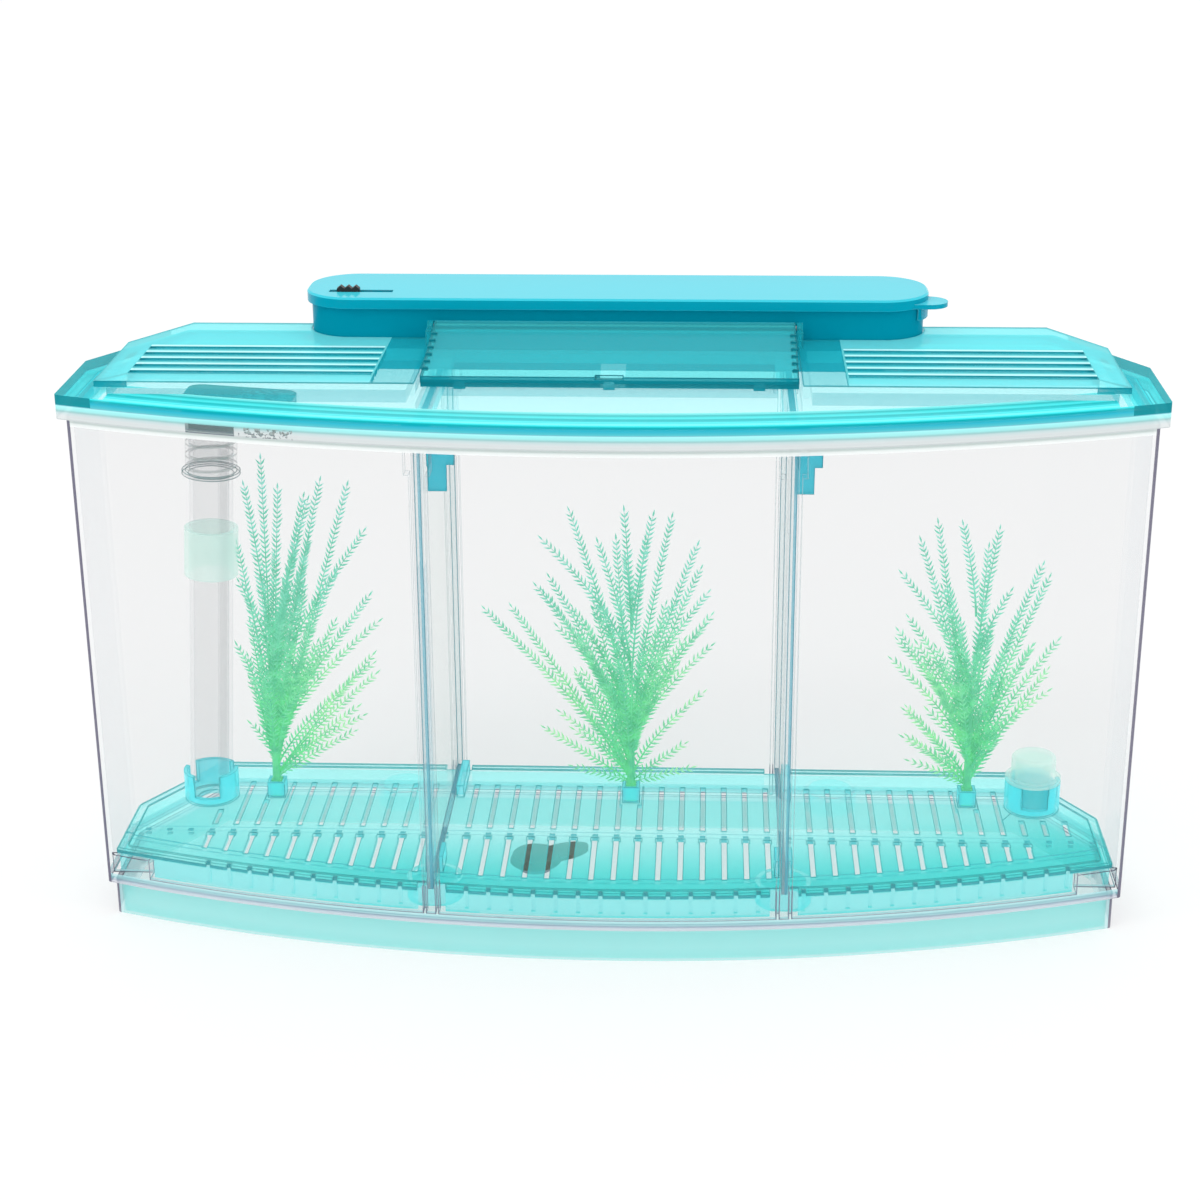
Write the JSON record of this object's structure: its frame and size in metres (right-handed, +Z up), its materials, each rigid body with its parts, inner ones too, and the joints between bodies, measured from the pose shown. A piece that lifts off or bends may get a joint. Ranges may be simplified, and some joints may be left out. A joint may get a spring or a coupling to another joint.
{
  "type": "portable aquarium",
  "caption": "Small bow-front aquarium with clear dividers, slotted filter plate, lift tube, plastic plants and a louvred lid with a feeding flap and a battery lamp.",
  "frame": {"origin": "middle of the bounding box on the plane it stands on", "axes": "+X to the right seen from the bowed front, +Y towards the straight back, +Z up"},
  "size_m": [0.28, 0.101, 0.1637],
  "materials": {
    "clear": "clear moulded plastic",
    "teal_clear": "see-through teal plastic, polished",
    "teal_deep": "see-through dark teal plastic",
    "frosted": "frosted soft plastic",
    "carbon": "grains of carbon in a see-through teal case",
    "plant": "satin green plastic leaves",
    "rubber": "matt dark rubber",
    "steel": "plain steel",
    "cell": "plain sleeved metal case",
    "board": "white board",
    "led": "pale diffuser",
    "black": "fine matt black"
  },
  "bodies": {
    "tank_body": {"tank": "clear", "drain_plug": "rubber"},
    "plate_body": {"filter_plate": "teal_clear", "lift_tube_lower": "clear", "lift_tube_upper": "clear", "tube_sleeve": "frosted", "airline": "clear"},
    "head_body": {"outlet_head": "clear", "carbon_cartridge": "carbon"},
    "plug_body": {"socket_plug": "frosted"},
    "plant_left_body": {"plant_left": "plant"},
    "plant_middle_body": {"plant_middle": "plant"},
    "plant_right_body": {"plant_right": "plant"},
    "divider_left_body": {"divider_left": "clear", "divider_clip_left": "teal_clear"},
    "divider_right_body": {"divider_right": "clear", "divider_clip_right": "teal_clear"},
    "lid_body": {"lid": "teal_clear", "flap_pin": "steel", "lamp_box": "teal_deep", "lamp_window": "clear", "lamp_board": "board", "lamp_leds": "led", "board_screws": "steel", "cell_1": "cell", "cell_2": "cell", "cell_3": "cell", "contact_left": "steel", "contact_right": "steel"},
    "flap_body": {"feeding_flap": "teal_clear"},
    "cover_body": {"lamp_cover": "teal_clear", "switch_body": "black"},
    "knob_body": {"switch_knob": "black"}
  },
  "joints": [
    {"name": "lid_lift", "type": "slide", "parent": "tank_body", "child": "lid_body", "axis": [0, 0, 1], "range_m": [0, 0.16]},
    {"name": "divider_left_lift", "type": "slide", "parent": "tank_body", "child": "divider_left_body", "axis": [0, 0, 1], "range_m": [0, 0.125]},
    {"name": "divider_right_lift", "type": "slide", "parent": "tank_body", "child": "divider_right_body", "axis": [0, 0, 1], "range_m": [0, 0.125]},
    {"name": "plate_lift", "type": "slide", "parent": "tank_body", "child": "plate_body", "axis": [0, 0, 1], "range_m": [0, 0.05]},
    {"name": "head_swivel", "type": "hinge", "parent": "plate_body", "child": "head_body", "pos_m": [-0.10873, 0.0128, 0.12921], "axis": [0.0593, 0, 0.9982], "range_deg": [-90, 70]},
    {"name": "plug_pull", "type": "slide", "parent": "plate_body", "child": "plug_body", "axis": [0, 0, 1], "range_m": [0, 0.008]},
    {"name": "plant_left_pull", "type": "slide", "parent": "plate_body", "child": "plant_left_body", "axis": [0, 0, 1], "range_m": [0, 0.008]},
    {"name": "plant_middle_pull", "type": "slide", "parent": "plate_body", "child": "plant_middle_body", "axis": [0, 0, 1], "range_m": [0, 0.008]},
    {"name": "plant_right_pull", "type": "slide", "parent": "plate_body", "child": "plant_right_body", "axis": [0, 0, 1], "range_m": [0, 0.008]},
    {"name": "flap_hinge", "type": "hinge", "parent": "lid_body", "child": "flap_body", "pos_m": [0, 0.0189, 0.155], "axis": [-1, 0, 0], "range_deg": [0, 80]},
    {"name": "cover_hinge", "type": "hinge", "parent": "lid_body", "child": "cover_body", "pos_m": [-0.08309, 0.0355, 0.1591], "axis": [0, -1, 0], "range_deg": [0, 75]},
    {"name": "switch_slide", "type": "slide", "parent": "cover_body", "child": "knob_body", "axis": [1, 0, 0], "range_m": [0, 0.008]}
  ],
  "couplings": [
    {"joint": "divider_left_lift", "follows": "lid_lift", "ratio": 0.75},
    {"joint": "divider_right_lift", "follows": "lid_lift", "ratio": 0.75},
    {"joint": "plate_lift", "follows": "lid_lift", "ratio": 0.3}
  ]
}
